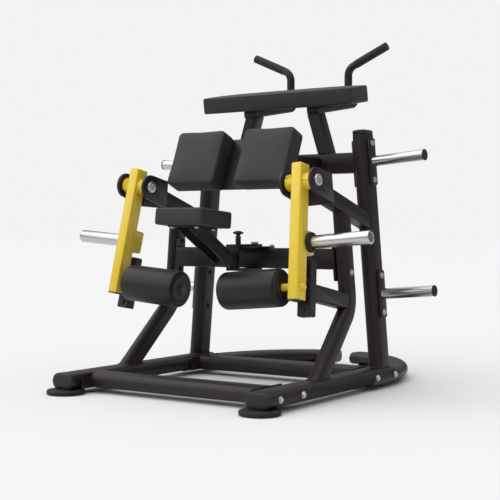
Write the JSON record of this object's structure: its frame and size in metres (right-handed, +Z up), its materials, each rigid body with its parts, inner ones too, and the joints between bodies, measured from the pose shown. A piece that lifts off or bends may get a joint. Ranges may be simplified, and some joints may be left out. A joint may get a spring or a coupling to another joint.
{
  "type": "kneeling leg curl machine",
  "caption": "Plate-loaded kneeling leg curl machine with two yellow swing arms, foam rollers, chromed weight horns, thigh, knee and forearm pads on a black horseshoe base.",
  "frame": {"origin": "on the floor, at the middle of the machine's length and on its plane of symmetry", "axes": "+Z up, +X to the right of a user facing the pads, +Y towards the handles and the closed rear of the base"},
  "size_m": [1.34, 1.4721, 1.3731],
  "materials": {
    "black_foam": "skinned foam",
    "black_paint": "satin powder coat",
    "black_plastic": "moulded plastic",
    "black_rubber": "matt rubber",
    "black_upholstery": "smooth synthetic leather",
    "chrome": "polished chrome",
    "yellow_paint": "gloss powder coat",
    "zinc_bolt": "bright zinc"
  },
  "bodies": {
    "frame": {"arm_bumper_left": "black_rubber", "arm_bumper_right": "black_rubber", "arm_stop_left": "black_paint", "arm_stop_right": "black_paint", "forearm_pad": "black_upholstery", "front_crossmember": "black_paint", "front_foot_left": "black_rubber", "front_foot_right": "black_rubber", "front_leg_left": "black_paint", "front_leg_right": "black_paint", "handle_left": "black_paint", "handle_right": "black_paint", "mid_crossbeam": "black_paint", "pad_support_left": "black_paint", "pad_support_right": "black_paint", "pivot_beam_left": "black_paint", "pivot_beam_right": "black_paint", "pivot_bolt_left": "zinc_bolt", "pivot_bolt_right": "zinc_bolt", "pivot_clevis_left": "black_paint", "pivot_clevis_right": "black_paint", "rear_crossmember": "black_paint", "rear_foot_left": "black_rubber", "rear_foot_right": "black_rubber", "rear_upright_left": "black_paint", "rear_upright_right": "black_paint", "side_rail_left": "black_paint", "side_rail_right": "black_paint", "storage_cap_lower_left": "black_rubber", "storage_cap_lower_right": "black_rubber", "storage_cap_upper_left": "black_rubber", "storage_cap_upper_right": "black_rubber", "storage_horn_lower_left": "chrome", "storage_horn_lower_right": "chrome", "storage_horn_upper_left": "chrome", "storage_horn_upper_right": "chrome", "storage_plate_lower_left": "black_paint", "storage_plate_lower_right": "black_paint", "storage_plate_upper_left": "black_paint", "storage_plate_upper_right": "black_paint", "swivel_bolt": "zinc_bolt", "swivel_index_plate": "black_paint", "thigh_pad_bracket": "black_paint", "thigh_pad_left": "black_upholstery", "thigh_pad_right": "black_upholstery", "upper_crossbeam": "black_paint", "upright_cap_left": "black_plastic", "upright_cap_right": "black_plastic"},
    "arm_left": {"plate_stop_left": "black_rubber", "swing_arm_left": "yellow_paint", "weight_horn_left": "chrome"},
    "arm_right": {"plate_stop_right": "black_rubber", "swing_arm_right": "yellow_paint", "weight_horn_right": "chrome"},
    "roller_left": {"foam_roller_left": "black_foam"},
    "roller_right": {"foam_roller_right": "black_foam"},
    "knee_support": {"knee_swivel_arm": "black_paint", "knee_pad": "black_upholstery"},
    "pull_pin": {"pull_pin": "black_plastic"}
  },
  "joints": [
    {"name": "arm_swing_right", "type": "hinge", "parent": "frame", "child": "arm_right", "pos_m": [0.37476, -0.31723, 0.7765], "axis": [-0.9966, 0, -0.0819], "range_deg": [0, 105]},
    {"name": "roller_spin_right", "type": "hinge", "parent": "arm_right", "child": "roller_right", "pos_m": [0.22356, -0.39497, 0.39446], "axis": [0.9966, 0, 0.0819], "continuous": true},
    {"name": "arm_swing_left", "type": "hinge", "parent": "frame", "child": "arm_left", "pos_m": [-0.37476, -0.31723, 0.7765], "axis": [-0.9966, 0, 0.0819], "range_deg": [0, 105]},
    {"name": "roller_spin_left", "type": "hinge", "parent": "arm_left", "child": "roller_left", "pos_m": [-0.22356, -0.39497, 0.39446], "axis": [0.9966, 0, -0.0819], "continuous": true},
    {"name": "knee_swivel", "type": "hinge", "parent": "frame", "child": "knee_support", "pos_m": [0, -0.05523, 0.497], "axis": [0, 0, 1], "range_deg": [-25, 25]},
    {"name": "pull_pin_lift", "type": "slide", "parent": "knee_support", "child": "pull_pin", "axis": [0, 0, 1], "range_m": [0, 0.012], "stiffness_N_per_m": 400, "springref_m": -0.01}
  ]
}
